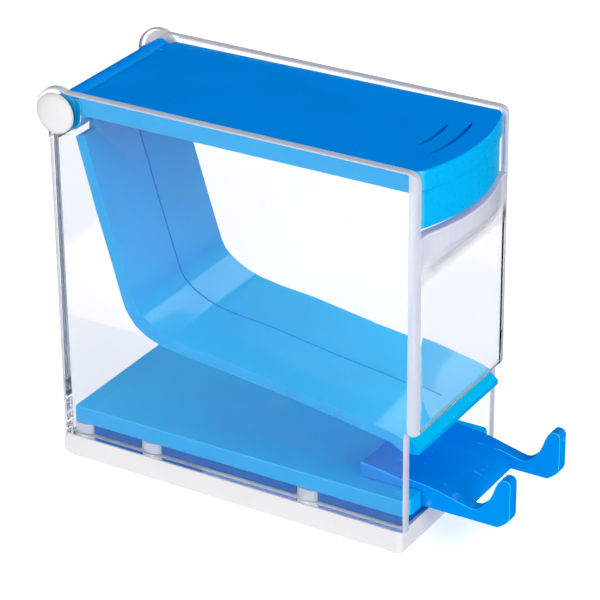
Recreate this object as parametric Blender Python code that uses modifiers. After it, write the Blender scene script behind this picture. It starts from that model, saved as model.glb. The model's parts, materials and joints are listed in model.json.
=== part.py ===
"""Push-drawer cotton-roll dispenser: clear hopper, hinged lid, tilting ramp and a sprung drawer.

Frame: +X is the front, where the drawer comes out, +Z is up. The origin is on the underside of the
base, in the middle of the case's length and width.
"""

import math

import bmesh
import bpy
from mathutils import Matrix, Vector

MM = 0.001
GAP = 0.3 * MM
STEP_IN = 0.1 * MM  # sets a joined shape's face back from its neighbour's

# Case
CASE_HALF_WIDTH = 25 * MM
WALL = 2.6 * MM
WALL_IN = CASE_HALF_WIDTH - WALL
CASE_REAR = -55.3 * MM
CASE_FRONT = 54.5 * MM
CASE_TOP = 108.3 * MM
BACK_WALL_TOP = 94.8 * MM
LEDGE_X = 51.8 * MM
PANEL_BOTTOM = 35.5 * MM
PANEL_TOP = 90.5 * MM
PANEL_THICKNESS = 2.5 * MM
LIP_X = 58.2 * MM
BOW_RADIUS = 53 * MM
FLARE_START = 78.5 * MM
FLARE_END = 85 * MM

# Base and its fixings
BASE_TOP = 6.5 * MM
SCREW_PLACES = [(-28 * MM, -18 * MM), (-28 * MM, 18 * MM), (21 * MM, -18 * MM), (21 * MM, 18 * MM)]
PAD_PLACES = SCREW_PLACES + [(-50 * MM, -18 * MM), (-50 * MM, 18 * MM)]
PAD_RADIUS = 5 * MM
SCREW_RADIUS = 1.5 * MM
SCREW_HEAD_RADIUS = 2.9 * MM

# Hinge of the lid, along Y
HINGE_X = -51.9 * MM
HINGE_Z = 102.3 * MM
EAR_RADIUS = 6.7 * MM
CAP_RADIUS = 5.6 * MM
CAP_HEIGHT = 2.5 * MM
PIN_RADIUS = 1.7 * MM

# Lid
LID_HALF_WIDTH = 22.1 * MM
LID_TOP_REAR = 107 * MM
LID_RISE = 0.8 * MM
LID_SKIRT_BOTTOM = 102 * MM
LID_FRONT_SKIRT_BOTTOM = 91.8 * MM
LID_REAR = -46.2 * MM
LID_WALL = 2 * MM
ROLL_X = -50.3 * MM
ROLL_Z = 103.9 * MM
ROLL_RADIUS = 3.05 * MM

# Ramp, pivoting on two stubs at its upper end
RAMP_HALF_WIDTH = 22 * MM
RAMP_NECK_HALF_WIDTH = 16.6 * MM
RAMP_PIVOT_X = -45.5 * MM
RAMP_PIVOT_Z = 94 * MM
STUB_RADIUS = 1.4 * MM

# Drawer and its guide
GUIDE_REAR = -52.2 * MM
GUIDE_FRONT = 51.7 * MM
GUIDE_BOTTOM = 9.2 * MM
GUIDE_TOP = 14.8 * MM
GUIDE_BODY_HALF_WIDTH = 21.2 * MM
WEB_TOP = 10.1 * MM
CHANNEL_TOP = 13.4 * MM
NOTCH_X = 34.5 * MM
DRAWER_TRAVEL = 17 * MM
DRAWER_HALF_WIDTH = 16 * MM
DRAWER_REAR = 34.2 * MM
DRAWER_BOTTOM = 10.4 * MM
TONGUE_HALF_WIDTH = 8 * MM
TONGUE_REAR = 8 * MM
PUSHER_LENGTH = 4 * MM
ARM_INNER = 12.25 * MM
SPRING_Z = 10.2 * MM
SPRING_RADIUS = 2.2 * MM
SPRING_WIRE = 0.3 * MM
SPRING_SEAT_X = -44 * MM
SPRING_TURNS = 13

BLUE = (0.0, 0.27, 0.75)
WHITE = (0.86, 0.86, 0.87)
CLEAR = (0.9, 0.92, 0.95)
STEEL = (0.62, 0.62, 0.64)

for leftover in list(bpy.data.objects):
    bpy.data.objects.remove(leftover, do_unlink=True)

parts = bpy.data.collections.new("cotton_roll_dispenser")
cutters = bpy.data.collections.new("cutters")
cutters.hide_render = True
bpy.context.scene.collection.children.link(parts)
bpy.context.scene.collection.children.link(cutters)


# ---------------------------------------------------------------- materials
def material(name, color, roughness, metallic=0.0, transmission=0.0):
    made = bpy.data.materials.new(name)
    made.use_nodes = True
    shader = made.node_tree.nodes["Principled BSDF"]
    shader.inputs["Base Color"].default_value = (*color, 1)
    shader.inputs["Roughness"].default_value = roughness
    shader.inputs["Metallic"].default_value = metallic
    shader.inputs["Transmission Weight"].default_value = transmission
    return made


blue_plastic = material("blue_abs", BLUE, 0.25)
white_plastic = material("white_abs", WHITE, 0.4)
clear_plastic = material("clear_polystyrene", CLEAR, 0.05, transmission=1.0)
steel = material("zinc_plated_steel", STEEL, 0.3, metallic=1.0)


# ---------------------------------------------------------------- shape helpers
def put(obj, collection=parts, finish=None):
    """Links an object, gives it its material and makes it the only place that holds it."""
    collection.objects.link(obj)
    if finish:
        obj.data.materials.clear()
        obj.data.materials.append(finish)
    if collection is cutters:
        obj.hide_render = True
        obj.display_type = "WIRE"
    return obj


def from_bmesh(name, bm, collection=parts, finish=None):
    mesh = bpy.data.meshes.new(name)
    bm.to_mesh(mesh)
    bm.free()
    return put(bpy.data.objects.new(name, mesh), collection, finish)


def box(name, low, high, collection=cutters, finish=None):
    bm = bmesh.new()
    bmesh.ops.create_cube(bm, size=1)
    size = Vector(high) - Vector(low)
    middle = (Vector(high) + Vector(low)) / 2
    bmesh.ops.scale(bm, vec=size, verts=bm.verts)
    bmesh.ops.translate(bm, vec=middle, verts=bm.verts)
    return from_bmesh(name, bm, collection, finish)


def cylinder(name, start, end, radius, segments=32, collection=cutters, finish=None):
    """A cylinder between two points, turned so that its axis joins them."""
    start, end = Vector(start), Vector(end)
    along = end - start
    bm = bmesh.new()
    bmesh.ops.create_cone(
        bm, cap_ends=True, segments=segments, radius1=radius, radius2=radius, depth=along.length
    )
    turn = along.to_track_quat("Z", "Y").to_matrix().to_4x4()
    bmesh.ops.transform(bm, matrix=Matrix.Translation((start + end) / 2) @ turn, verts=bm.verts)
    return from_bmesh(name, bm, collection, finish)


def arc(centre, radius, first, last, steps):
    """Points on an arc, its angles in degrees from the first axis of the outline."""
    points = []
    for step in range(steps + 1):
        angle = math.radians(first + (last - first) * step / steps)
        points.append((centre[0] + radius * math.cos(angle), centre[1] + radius * math.sin(angle)))
    return points


def outline_solid(name, points, low, high, upright=True, collection=cutters, finish=None):
    """A flat outline given a thickness: X,Z points along Y when upright, else X,Y points along Z."""
    curve = bpy.data.curves.new(name, "CURVE")
    curve.dimensions = "2D"
    curve.fill_mode = "BOTH"
    curve.extrude = (high - low) / 2
    spline = curve.splines.new("POLY")
    spline.points.add(len(points) - 1)
    for point, (first, second) in zip(spline.points, points):
        point.co = (first, second, 0, 1)
    spline.use_cyclic_u = True
    guide = bpy.data.objects.new(name + "_outline", curve)
    middle = (low + high) / 2
    if upright:
        guide.matrix_world = Matrix.Translation((0, middle, 0)) @ Matrix.Rotation(math.pi / 2, 4, "X")
    else:
        guide.matrix_world = Matrix.Translation((0, 0, middle))
    cutters.objects.link(guide)
    bpy.context.view_layer.update()
    evaluated = guide.evaluated_get(bpy.context.evaluated_depsgraph_get())
    mesh = bpy.data.meshes.new_from_object(evaluated)
    mesh.name = name
    bm = bmesh.new()
    bm.from_mesh(mesh)
    bmesh.ops.transform(bm, matrix=guide.matrix_world, verts=bm.verts)
    bmesh.ops.remove_doubles(bm, verts=bm.verts, dist=1e-6)
    bmesh.ops.dissolve_limit(bm, angle_limit=math.radians(0.5), verts=bm.verts, edges=bm.edges)
    bmesh.ops.recalc_face_normals(bm, faces=bm.faces)
    bm.to_mesh(mesh)
    bm.free()
    bpy.data.objects.remove(guide, do_unlink=True)
    return put(bpy.data.objects.new(name, mesh), collection, finish)


def combine(target, others, operation):
    """Joins or cuts with the EXACT Boolean, and keeps the result as the target's own mesh."""
    for other in others:
        modifier = target.modifiers.new(operation.lower(), "BOOLEAN")
        modifier.operation = operation
        modifier.solver = "EXACT"
        modifier.object = other
        bpy.context.view_layer.update()
        evaluated = target.evaluated_get(bpy.context.evaluated_depsgraph_get())
        mesh = bpy.data.meshes.new_from_object(evaluated)
        target.modifiers.remove(modifier)
        target.data = mesh
        bpy.data.objects.remove(other, do_unlink=True)
    return target


def join(target, others):
    return combine(target, others, "UNION")


def cut(target, others):
    return combine(target, others, "DIFFERENCE")


def round_edges(obj, width, segments=2, angle=50, chosen=None):
    """Bevels the sharp edges of a finished shape, or only those that the test picks by their ends."""
    bm = bmesh.new()
    bm.from_mesh(obj.data)
    bmesh.ops.dissolve_limit(bm, angle_limit=math.radians(0.5), verts=bm.verts, edges=bm.edges)
    edges = []
    for edge in bm.edges:
        if len(edge.link_faces) == 2 and math.degrees(edge.calc_face_angle()) > angle:
            if chosen is None or chosen(edge.verts[0].co, edge.verts[1].co):
                edges.append(edge)
    bmesh.ops.bevel(
        bm, geom=edges, offset=width, segments=segments, profile=0.5, affect="EDGES", clamp_overlap=True
    )
    bm.to_mesh(obj.data)
    bm.free()
    return obj


def turned(name, profile, place, turn, collection=parts, finish=None, steps=32):
    """A profile of radius and height points, top to bottom, swept round its own Z by a Screw."""
    bm = bmesh.new()
    previous = None
    for radius, height in profile:
        vertex = bm.verts.new((radius, 0, height))
        if previous:
            bm.edges.new((previous, vertex))
        previous = vertex
    obj = from_bmesh(name, bm, collection, finish)
    screw = obj.modifiers.new("turn", "SCREW")
    screw.steps = steps
    screw.render_steps = steps
    screw.use_merge_vertices = True
    screw.merge_threshold = 1e-5
    obj.matrix_world = Matrix.Translation(place) @ turn
    return obj


def smooth(obj):
    obj.data.shade_smooth()
    obj.data.set_sharp_from_angle(angle=math.radians(35))


def set_origin(obj, point):
    """Puts the object's origin on its joint without moving the shape."""
    obj.data.transform(Matrix.Translation(-Vector(point)))
    obj.location = point


# ---------------------------------------------------------------- clear case
def bow(y):
    """How far the bowed front of the lid and of the panel's lip stands back from its middle."""
    return BOW_RADIUS - math.sqrt(BOW_RADIUS**2 - y**2)


def side_wall(sign):
    """One side of the case, with its hinge ear, seen along Y."""
    ear_drop = math.sqrt(EAR_RADIUS**2 - (CASE_REAR - HINGE_X) ** 2)
    ear_start = math.degrees(math.atan2(-ear_drop, CASE_REAR - HINGE_X)) + 360
    ear_end = math.degrees(math.asin((CASE_TOP - HINGE_Z) / EAR_RADIUS))
    corner = 3 * MM
    points = [(CASE_REAR, BASE_TOP + GAP / 2)]
    points += arc((HINGE_X, HINGE_Z), EAR_RADIUS, ear_start, ear_end, 20)
    points += arc((CASE_FRONT - corner, CASE_TOP - corner), corner, 90, 0, 4)
    points += [(CASE_FRONT, PANEL_BOTTOM), (LEDGE_X, PANEL_BOTTOM), (LEDGE_X, BASE_TOP + GAP / 2)]
    low, high = sorted((sign * WALL_IN, sign * CASE_HALF_WIDTH))
    return outline_solid("side_wall", points, low, high)


def front_panel():
    """The flat front, whose top flares out into a lip that is bowed like the lid's front."""
    bm = bmesh.new()
    columns, rows = 16, 22
    bmesh.ops.create_grid(bm, x_segments=columns, y_segments=rows, size=0.5)
    height = PANEL_TOP - PANEL_BOTTOM
    for vertex in bm.verts:
        y = vertex.co.x * 2 * (WALL_IN + 1 * MM)
        share = vertex.co.y + 0.5
        # Rows crowd into the flare, which is the only part that bends along Z.
        z = PANEL_BOTTOM + height * (1 - (1 - share) ** 2.2)
        bend = min(1, max(0, (z - FLARE_START) / (FLARE_END - FLARE_START)))
        bend = bend * bend * (3 - 2 * bend)
        proud = max(0, LIP_X - CASE_FRONT - bow(y))
        vertex.co = (CASE_FRONT + bend * proud, y, z)
    bmesh.ops.recalc_face_normals(bm, faces=bm.faces)
    if sum(face.normal.x for face in bm.faces) < 0:
        bmesh.ops.reverse_faces(bm, faces=bm.faces)
    panel = from_bmesh("front_panel", bm, cutters)
    shell = panel.modifiers.new("thickness", "SOLIDIFY")
    shell.thickness = PANEL_THICKNESS
    shell.offset = -1
    bpy.context.view_layer.update()
    evaluated = panel.evaluated_get(bpy.context.evaluated_depsgraph_get())
    mesh = bpy.data.meshes.new_from_object(evaluated)
    panel.modifiers.clear()
    panel.data = mesh
    return panel


def corner_cutter(x, y, radius, low, high):
    """What rounds a vertical corner of the case: the corner outside its arc."""
    inward_x = -1 if x > 0 else 1
    inward_y = -1 if y > 0 else 1
    centre = (x + inward_x * radius, y + inward_y * radius)
    past = 1 * MM
    rounded = []
    for step in range(7):
        angle = math.radians(90 * step / 6)
        rounded.append(
            (centre[0] - inward_x * radius * math.cos(angle), centre[1] - inward_y * radius * math.sin(angle))
        )
    points = [(x - inward_x * past, centre[1])] + rounded
    points += [(centre[0], y - inward_y * past), (x - inward_x * past, y - inward_y * past)]
    return outline_solid("corner", points, low, high, upright=False)


def make_case():
    case = side_wall(-1)
    case.name = "clear_case"
    cutters.objects.unlink(case)
    case.hide_render = False
    case.display_type = "TEXTURED"
    put(case, parts, clear_plastic)
    inset = 0.5 * MM
    back = box(
        "back_wall",
        (CASE_REAR, -WALL_IN - inset, BASE_TOP + GAP / 2),
        (CASE_REAR + WALL, WALL_IN + inset, BACK_WALL_TOP),
    )
    pads = []
    for x, y in PAD_PLACES:
        low = (x, y, BASE_TOP + GAP / 2)
        high = (x, y, GUIDE_BOTTOM - GAP)
        pads.append(cylinder("pad", low, high, PAD_RADIUS, 24))
    join(case, [side_wall(1), back, front_panel()] + pads)
    front_round, rear_round, ledge_round = 4 * MM, 1.6 * MM, 1 * MM
    above, below = CASE_TOP + 5 * MM, BASE_TOP - 1 * MM
    corners = []
    for sign in (-1, 1):
        y = sign * CASE_HALF_WIDTH
        corners.append(corner_cutter(CASE_FRONT, y, front_round, PANEL_BOTTOM - 0.1 * MM, above))
        corners.append(corner_cutter(CASE_REAR, y, rear_round, below, BACK_WALL_TOP))
        corners.append(corner_cutter(LEDGE_X, y, ledge_round, below, PANEL_BOTTOM - 1 * MM))
    cut(case, corners)
    holes = []
    for sign in (-1, 1):
        start = (HINGE_X, sign * (WALL_IN - 1 * MM), HINGE_Z)
        end = (HINGE_X, sign * (CASE_HALF_WIDTH + 1 * MM), HINGE_Z)
        holes.append(cylinder("pin_hole", start, end, PIN_RADIUS + GAP, 24))
        start = (RAMP_PIVOT_X, sign * (WALL_IN - 1 * MM), RAMP_PIVOT_Z)
        end = (RAMP_PIVOT_X, sign * (WALL_IN + 1.5 * MM), RAMP_PIVOT_Z)
        holes.append(cylinder("stub_hole", start, end, STUB_RADIUS + GAP, 20))
    for x, y in SCREW_PLACES:
        start = (x, y, BASE_TOP - 1 * MM)
        end = (x, y, GUIDE_BOTTOM + 1 * MM)
        holes.append(cylinder("screw_hole", start, end, SCREW_RADIUS + GAP, 20))
    cut(case, holes)
    smooth(case)


# ---------------------------------------------------------------- base and fixings
def make_base():
    front = LEDGE_X - 1.1 * MM
    base = box(
        "base_plate",
        (CASE_REAR, -CASE_HALF_WIDTH, 0),
        (front, CASE_HALF_WIDTH, BASE_TOP - GAP / 2),
        parts,
        white_plastic,
    )

    def rear_bottom(a, b):
        return max(a.x, b.x) < CASE_REAR + 1e-5 and max(a.z, b.z) < 1e-5

    def upright(a, b):
        return abs(a.z - b.z) > 1 * MM

    round_edges(base, 2.7 * MM, 4, chosen=rear_bottom)
    round_edges(base, 1.6 * MM, 4, angle=80, chosen=upright)
    round_edges(base, 0.5 * MM, 2, angle=60)
    holes = []
    for x, y in SCREW_PLACES:
        holes.append(cylinder("screw_way", (x, y, -1 * MM), (x, y, BASE_TOP + 1 * MM), SCREW_RADIUS + GAP, 20))
        recess = SCREW_HEAD_RADIUS + GAP
        holes.append(cylinder("head_recess", (x, y, -1 * MM), (x, y, 3.1 * MM), recess, 24))
    cut(base, holes)


def make_screws():
    head_low, head_high, tip = 1.0 * MM, 2.8 * MM, 12.4 * MM
    drive = 0.8 * MM
    for number, (x, y) in enumerate(SCREW_PLACES, start=1):
        profile = [(0, tip), (0.5 * MM, tip), (SCREW_RADIUS, tip - 1.2 * MM), (SCREW_RADIUS, head_high)]
        profile += [(SCREW_HEAD_RADIUS, head_high), (SCREW_HEAD_RADIUS, head_low + 0.5 * MM)]
        profile += [(SCREW_HEAD_RADIUS - 0.6 * MM, head_low), (1.4 * MM, head_low)]
        profile += [(1.0 * MM, head_low + drive), (0, head_low + drive)]
        screw = turned(f"base_screw_{number}", profile, (x, y, 0), Matrix(), finish=steel, steps=20)
        smooth(screw)


# ---------------------------------------------------------------- lid and hinge pins
def lid_outline(inset, rear):
    """The lid seen from above: straight sides, a bowed front and small front corners."""
    half = LID_HALF_WIDTH - inset
    corner_y = half - 1.6 * MM
    points = [(rear, -half)]
    points.append((LIP_X - inset - bow(corner_y) - 1.6 * MM, -half))
    steps = 14
    for step in range(steps + 1):
        y = corner_y * (2 * step / steps - 1)
        points.append((LIP_X - inset - bow(y), y))
    points.append((LIP_X - inset - bow(corner_y) - 1.6 * MM, half))
    points.append((rear, half))
    return points


def crescent(x, half_length):
    """A finger groove across the lid, parallel with its bowed front."""
    width = 0.55 * MM
    steps = 10
    front, rear = [], []
    for step in range(steps + 1):
        y = half_length * (2 * step / steps - 1)
        taper = math.sqrt(max(0.02, 1 - (y / half_length) ** 2))
        front.append((x - bow(y) + width * taper, y))
        rear.append((x - bow(y) - width * taper, y))
    top = LID_TOP_REAR + LID_RISE
    return outline_solid("groove", front + rear[::-1], top - 1.0 * MM, top + 2 * MM, upright=False)


def front_skirt():
    """The lid's apron, set back a little under its front band, reaching down to the case's lip."""
    outer = lid_outline(0.6 * MM, 48 * MM)
    skirt = outline_solid("skirt", outer, LID_FRONT_SKIRT_BOTTOM, LID_SKIRT_BOTTOM + 1 * MM, upright=False)
    inner = lid_outline(0.6 * MM + LID_WALL, 40 * MM)
    hollow = outline_solid("skirt_hollow", inner, LID_FRONT_SKIRT_BOTTOM - 1 * MM, 120 * MM, upright=False)
    rear_wall = box("skirt_trim", (30 * MM, -30 * MM, 80 * MM), (LEDGE_X - 0.2 * MM, 30 * MM, 101.5 * MM))
    return cut(skirt, [hollow, rear_wall])


def make_lid():
    top = LID_TOP_REAR
    lid = outline_solid("lid", lid_outline(0, LID_REAR), LID_SKIRT_BOTTOM, top, False, parts, blue_plastic)
    inner = outline_solid(
        "lid_hollow", lid_outline(LID_WALL, LID_REAR - 5 * MM), LID_SKIRT_BOTTOM - 1 * MM, top - 2.6 * MM, False
    )
    cut(lid, [inner])
    bm = bmesh.new()
    bm.from_mesh(lid.data)
    for vertex in bm.verts:
        if vertex.co.z > top - 0.1 * MM:
            vertex.co.z += LID_RISE * (vertex.co.x - LID_REAR) / (LIP_X - LID_REAR)
    bm.to_mesh(lid.data)
    bm.free()
    join(lid, [front_skirt()])

    def top_edge(a, b):
        return min(a.z, b.z) > top - 0.05 * MM

    round_edges(lid, 0.6 * MM, 2, angle=50, chosen=top_edge)
    roll = cylinder(
        "roll", (ROLL_X, -LID_HALF_WIDTH, ROLL_Z), (ROLL_X, LID_HALF_WIDTH, ROLL_Z), ROLL_RADIUS, 28
    )
    neck = box(
        "neck",
        (ROLL_X, -LID_HALF_WIDTH, 102.6 * MM),
        (LID_REAR + 1 * MM, LID_HALF_WIDTH, 105.5 * MM),
    )
    additions = [neck, roll]
    lug_radius = 5.2 * MM
    lug_front = LID_REAR + 0.6 * MM
    for sign in (-1, 1):
        points = arc((HINGE_X, HINGE_Z), lug_radius, 100, 270, 16)
        points += arc((lug_front - 4 * MM, HINGE_Z - lug_radius + 4 * MM), 4 * MM, 270, 360, 5)
        points += [(lug_front, 106.2 * MM), (lug_front - 2 * MM, 106.2 * MM)]
        low, high = sorted((sign * 17 * MM, sign * LID_HALF_WIDTH))
        additions.append(outline_solid("lug", points, low, high))
    join(lid, additions)
    bores = []
    for sign in (-1, 1):
        start = (HINGE_X, sign * 12.5 * MM, HINGE_Z)
        end = (HINGE_X, sign * (LID_HALF_WIDTH + 1 * MM), HINGE_Z)
        bores.append(cylinder("bore", start, end, PIN_RADIUS + GAP, 24))
    cut(lid, bores + [crescent(51.3 * MM, 11.3 * MM), crescent(45.7 * MM, 7.8 * MM)])
    smooth(lid)
    set_origin(lid, (HINGE_X, 0, HINGE_Z))


def make_hinge_pins():
    inner_end = 13 * MM
    outer_face = CASE_HALF_WIDTH + GAP
    for side, sign in (("left", 1), ("right", -1)):
        profile = [(0, outer_face + CAP_HEIGHT)]
        dome = math.radians(90)
        steps = 7
        for step in range(1, steps + 1):
            angle = dome * step / steps
            profile.append((CAP_RADIUS * math.sin(angle), outer_face + 0.6 * MM + (CAP_HEIGHT - 0.6 * MM) * math.cos(angle)))
        profile += [(CAP_RADIUS, outer_face), (PIN_RADIUS, outer_face)]
        profile += [(PIN_RADIUS, inner_end + 0.5 * MM), (PIN_RADIUS - 0.5 * MM, inner_end), (0, inner_end)]
        turn = Matrix.Rotation(-sign * math.pi / 2, 4, "X")
        pin = turned(f"hinge_pin_{side}", profile, (HINGE_X, 0, HINGE_Z), turn, finish=white_plastic)
        smooth(pin)


# ---------------------------------------------------------------- ramp
def ramp_outline():
    """The ramp seen along Y: the face the rolls slide on, the lip bar, then the underside back up."""
    face = [(-44.8, 97), (-38.8, 76.2), (-33.5, 59), (-31.2, 51.8), (-29.4, 48.8), (-26.2, 46.5)]
    face += [(-22.6, 44.7), (-18.5, 43.5), (-12, 42.5), (-2.4, 41.7), (19, 38.4), (33.9, 36.7), (46.8, 34.2)]
    lip = [(50.6, 32.9), (51.8, 32.5), (54.2, 30.6), (54.2, 29.2), (51.8, 28.6)]
    under = [(48.9, 29.9), (46.6, 31.3), (33.9, 33.4), (18.9, 35.6), (-4, 38.4), (-14, 39.3), (-22.8, 40.6)]
    under += [(-29, 43.1), (-32.9, 46.8), (-35, 51.2), (-37.7, 60.8), (-42.1, 75.5), (-47.6, 95.8)]
    return [(x * MM, z * MM) for x, z in face + lip + under]


def make_ramp():
    ramp = outline_solid(
        "ramp", ramp_outline(), -RAMP_HALF_WIDTH, RAMP_HALF_WIDTH, True, parts, blue_plastic
    )
    neck = [(-44.6, 95), (-44.2, 101.2), (-46.8, 101.2), (-47.2, 95)]
    additions = [
        outline_solid("neck", [(x * MM, z * MM) for x, z in neck], -RAMP_NECK_HALF_WIDTH, RAMP_NECK_HALF_WIDTH)
    ]
    for sign in (-1, 1):
        start = (RAMP_PIVOT_X, sign * (RAMP_HALF_WIDTH - 2 * MM), RAMP_PIVOT_Z)
        end = (RAMP_PIVOT_X, sign * (WALL_IN + 1.2 * MM), RAMP_PIVOT_Z)
        additions.append(cylinder("stub", start, end, STUB_RADIUS, 20))
    join(ramp, additions)
    smooth(ramp)
    set_origin(ramp, (RAMP_PIVOT_X, 0, RAMP_PIVOT_Z))


# ---------------------------------------------------------------- drawer, guide and spring
def make_guide():
    guide = box(
        "drawer_guide",
        (GUIDE_REAR, -RAMP_HALF_WIDTH, GUIDE_BOTTOM),
        (GUIDE_FRONT, RAMP_HALF_WIDTH, GUIDE_TOP),
        parts,
        blue_plastic,
    )

    def front_upright(a, b):
        return min(a.x, b.x) > GUIDE_FRONT - 1e-5 and abs(a.z - b.z) > 1 * MM

    def top_edge(a, b):
        return min(a.z, b.z) > GUIDE_TOP - 1e-5

    round_edges(guide, 2 * MM, 4, chosen=front_upright)
    round_edges(guide, 0.4 * MM, 2, chosen=top_edge)
    body = box(
        "body",
        (GUIDE_REAR + 2 * MM, -GUIDE_BODY_HALF_WIDTH, BASE_TOP + GAP),
        (GUIDE_FRONT - 1.5 * MM, GUIDE_BODY_HALF_WIDTH, GUIDE_BOTTOM + 1 * MM),
    )
    round_edges(body, 1 * MM, 2, angle=80)
    pad_ways = []
    for x, y in PAD_PLACES:
        pad_ways.append(cylinder("pad_way", (x, y, 0), (x, y, GUIDE_BOTTOM), PAD_RADIUS + GAP, 24))
    cut(body, pad_ways)
    join(guide, [body])
    slot_half = DRAWER_HALF_WIDTH + GAP
    past = 5 * MM
    notch = box("notch", (NOTCH_X, -slot_half, WEB_TOP), (GUIDE_FRONT + past, slot_half, GUIDE_TOP + past))
    channel_half = TONGUE_HALF_WIDTH + GAP
    channel_rear = TONGUE_REAR - DRAWER_TRAVEL - 2 * MM
    channel = box(
        "channel", (channel_rear, -channel_half, WEB_TOP), (NOTCH_X + past, channel_half, CHANNEL_TOP)
    )
    trough_half = SPRING_RADIUS + SPRING_WIRE + 0.6 * MM
    trough = box(
        "trough",
        (SPRING_SEAT_X - GAP, -trough_half, GUIDE_BOTTOM - past),
        (NOTCH_X + past, trough_half, CHANNEL_TOP),
    )
    holes = []
    for x, y in SCREW_PLACES:
        start = (x, y, GUIDE_BOTTOM - past)
        holes.append(cylinder("thread", start, (x, y, 13 * MM), SCREW_RADIUS + GAP, 20))
    cut(guide, [notch, channel, trough] + holes)
    peg_end = SPRING_SEAT_X + 7 * MM
    join(guide, [cylinder("peg", (SPRING_SEAT_X - 2 * MM, 0, SPRING_Z), (peg_end, 0, SPRING_Z), 1.4 * MM, 16)])
    smooth(guide)


def drawer_arm_outline():
    """One side of the drawer seen along Y, from its rear edge to the tip of its hook."""
    keel = NOTCH_X + DRAWER_TRAVEL + GAP
    top = [(34.2, 19.2), (46, 17.5), (53.5, 16.8), (60, 15.3), (66.4, 13.8), (67.5, 13.9), (68.7, 14.9)]
    top += [(71.2, 17.9), (72.7, 21.7), (74.3, 24.4), (74.8, 24.8), (76.1, 24.8), (76.8, 24.4)]
    front = [(77.2, 23.6), (77.2, 14.2), (76.4, 12.6), (75, 11.3), (73.7, 10.4)]
    points = [(x * MM, z * MM) for x, z in top + front]
    points += [(keel, DRAWER_BOTTOM), (keel, GUIDE_TOP + GAP), (DRAWER_REAR, GUIDE_TOP + GAP)]
    return points


def drawer_plate_outline():
    """The middle of the drawer seen along Y: it dips a little below its sides and ends at the hooks."""
    keel = NOTCH_X + DRAWER_TRAVEL + GAP + STEP_IN
    under, bottom = GUIDE_TOP + GAP + STEP_IN, DRAWER_BOTTOM + STEP_IN
    top = [(34.3, 18.9), (46, 17.1), (53.5, 16.2), (60, 14.4), (62.2, 13.4), (63, 12.6)]
    points = [(x * MM, z * MM) for x, z in top]
    points += [(63 * MM, bottom), (keel, bottom), (keel, under), (34.3 * MM, under)]
    return points


def make_drawer():
    arm = drawer_arm_outline()
    drawer = outline_solid("drawer", arm, ARM_INNER, DRAWER_HALF_WIDTH, True, parts, blue_plastic)
    other = outline_solid("arm", arm, -DRAWER_HALF_WIDTH, -ARM_INNER)
    overlap = 0.4 * MM
    plate = outline_solid("plate", drawer_plate_outline(), -ARM_INNER - overlap, ARM_INNER + overlap)
    join(drawer, [plate, other])
    keel = NOTCH_X + DRAWER_TRAVEL + GAP
    tongue_top = CHANNEL_TOP - GAP
    tongue = box(
        "tongue",
        (TONGUE_REAR, -TONGUE_HALF_WIDTH, DRAWER_BOTTOM + STEP_IN),
        (keel + 2 * MM, TONGUE_HALF_WIDTH, tongue_top),
    )
    pusher_half = SPRING_RADIUS + SPRING_WIRE
    pusher = box(
        "pusher",
        (TONGUE_REAR - PUSHER_LENGTH, -pusher_half, 7.6 * MM),
        (TONGUE_REAR + 1 * MM, pusher_half, tongue_top),
    )
    seat = TONGUE_REAR - PUSHER_LENGTH
    peg = cylinder("peg", (seat + 1 * MM, 0, SPRING_Z), (seat - 6 * MM, 0, SPRING_Z), 1.4 * MM, 16)
    join(drawer, [tongue, pusher, peg])
    smooth(drawer)
    set_origin(drawer, (keel, 0, DRAWER_BOTTOM))


def make_spring():
    """A compression spring from the guide's seat to the drawer's pusher, its end turns closed up."""
    first = SPRING_SEAT_X + SPRING_WIRE + GAP
    last = TONGUE_REAR - PUSHER_LENGTH - SPRING_WIRE - GAP
    per_turn = 9
    count = SPRING_TURNS * per_turn
    curve = bpy.data.curves.new("drawer_spring", "CURVE")
    curve.dimensions = "3D"
    curve.bevel_depth = SPRING_WIRE
    curve.bevel_resolution = 1
    curve.use_fill_caps = True
    spline = curve.splines.new("POLY")
    spline.points.add(count)
    for index, point in enumerate(spline.points):
        share = index / count
        angle = 2 * math.pi * index / per_turn
        x = first + (last - first) * share
        y = SPRING_RADIUS * math.cos(angle)
        z = SPRING_Z + SPRING_RADIUS * math.sin(angle)
        point.co = (x, y, z, 1)
    spring = bpy.data.objects.new("drawer_spring", curve)
    curve.materials.append(steel)
    parts.objects.link(spring)


make_case()
make_base()
make_screws()
make_guide()
make_drawer()
make_spring()
make_ramp()
make_lid()
make_hinge_pins()
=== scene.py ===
import json
import math

import bpy
from mathutils import Matrix, Vector


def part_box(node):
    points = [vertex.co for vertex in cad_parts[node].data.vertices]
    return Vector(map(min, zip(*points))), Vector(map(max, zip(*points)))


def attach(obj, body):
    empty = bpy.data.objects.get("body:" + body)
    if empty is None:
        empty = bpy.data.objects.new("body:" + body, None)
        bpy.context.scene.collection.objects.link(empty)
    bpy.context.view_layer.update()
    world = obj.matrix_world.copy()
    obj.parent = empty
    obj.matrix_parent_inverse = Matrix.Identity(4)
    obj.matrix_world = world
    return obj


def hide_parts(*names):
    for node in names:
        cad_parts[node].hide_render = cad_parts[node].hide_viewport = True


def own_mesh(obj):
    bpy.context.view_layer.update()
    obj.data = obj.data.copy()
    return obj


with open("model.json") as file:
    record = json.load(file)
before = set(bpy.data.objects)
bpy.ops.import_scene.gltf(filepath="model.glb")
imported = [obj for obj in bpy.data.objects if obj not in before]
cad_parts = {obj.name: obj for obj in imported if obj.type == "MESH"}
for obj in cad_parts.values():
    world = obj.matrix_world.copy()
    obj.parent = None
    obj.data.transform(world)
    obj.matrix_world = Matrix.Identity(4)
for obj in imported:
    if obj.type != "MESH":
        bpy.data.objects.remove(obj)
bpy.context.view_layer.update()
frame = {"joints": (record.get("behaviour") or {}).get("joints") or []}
mm = 0.001
hair = 0.01 * mm  # points nearer than this count as level with each other
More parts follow.
